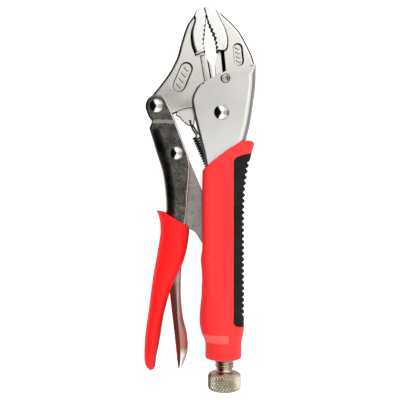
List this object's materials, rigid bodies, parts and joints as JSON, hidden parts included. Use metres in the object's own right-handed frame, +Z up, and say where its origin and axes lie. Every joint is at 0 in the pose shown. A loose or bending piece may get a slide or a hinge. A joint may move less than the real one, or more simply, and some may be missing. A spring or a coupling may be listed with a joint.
{
  "type": "locking pliers",
  "caption": "Curved-jaw locking pliers with a wire cutter, toggle linkage, adjusting screw, release lever and sleeved handles.",
  "frame": {"origin": "middle of the footprint, on the surface that the tool lies on", "axes": "+Y along the tool towards the jaws, +X towards the fixed handle's side, +Z up through its thickness"},
  "size_m": [0.0728, 0.2498, 0.025],
  "materials": {
    "jaw_nickel": "satin nickel plate, cast skin under it",
    "shell_nickel": "satin nickel plate",
    "lever_steel": "dark satin steel",
    "link_steel": "mottled zinc plate",
    "release_steel": "bright nickel plate",
    "rivet_steel": "polished",
    "stake_steel": "staked, matte",
    "screw_steel": "nickel plate",
    "knob_steel": "knurled, nickel plate",
    "spring_steel": "dark spring wire",
    "red_plastic": "satin moulded",
    "black_rubber": "matte, ribbed"
  },
  "bodies": {
    "fixed_handle": {"fixed_handle_shell": "shell_nickel", "fixed_jaw": "jaw_nickel", "fixed_jaw_rivet": "stake_steel", "main_pivot_rivet": "rivet_steel", "fixed_grip": "red_plastic", "grip_insert": "black_rubber", "return_spring": "spring_steel"},
    "jaw": {"movable_jaw": "jaw_nickel", "lever_pivot_rivet": "rivet_steel"},
    "lever": {"movable_handle_shell": "lever_steel", "link_pivot_rivet": "rivet_steel", "movable_grip": "red_plastic", "release_lever_pin": "stake_steel"},
    "link": {"toggle_link": "link_steel"},
    "release": {"release_lever": "release_steel"},
    "screw": {"adjusting_screw": "screw_steel"},
    "knob": {"knurled_knob": "knob_steel"}
  },
  "joints": [
    {"name": "jaw_open", "type": "hinge", "parent": "fixed_handle", "child": "jaw", "pos_m": [0.014, 0.0567, 0.0125], "axis": [0, 0, 1], "range_deg": [0, 12.8], "deforming": ["return_spring"]},
    {"name": "lever_open", "type": "hinge", "parent": "jaw", "child": "lever", "pos_m": [-0.0281, 0.061, 0.0125], "axis": [0, 0, -1], "range_deg": [0, 50]},
    {"name": "link_swing", "type": "hinge", "parent": "lever", "child": "link", "pos_m": [-0.015, 0.0302, 0.0125], "axis": [0, 0, 1], "range_deg": [0, 54.6]},
    {"name": "release_press", "type": "hinge", "parent": "lever", "child": "release", "pos_m": [-0.0172, -0.028, 0.0125], "axis": [0, 0, -1], "range_deg": [0, 7.5]},
    {"name": "screw_travel", "type": "slide", "parent": "fixed_handle", "child": "screw", "axis": [0, -1, 0], "range_m": [0, 0.0175]},
    {"name": "knob_turn", "type": "hinge", "parent": "screw", "child": "knob", "pos_m": [0.016, -0.1123, 0.0125], "axis": [0, -1, 0], "range_deg": [0, 3600]}
  ],
  "couplings": [
    {"joint": "jaw_open", "follows": "lever_open", "ratio": 0.255},
    {"joint": "link_swing", "follows": "lever_open", "ratio": 1.09},
    {"joint": "knob_turn", "follows": "screw_travel", "rad_per_m": 3590.4}
  ]
}
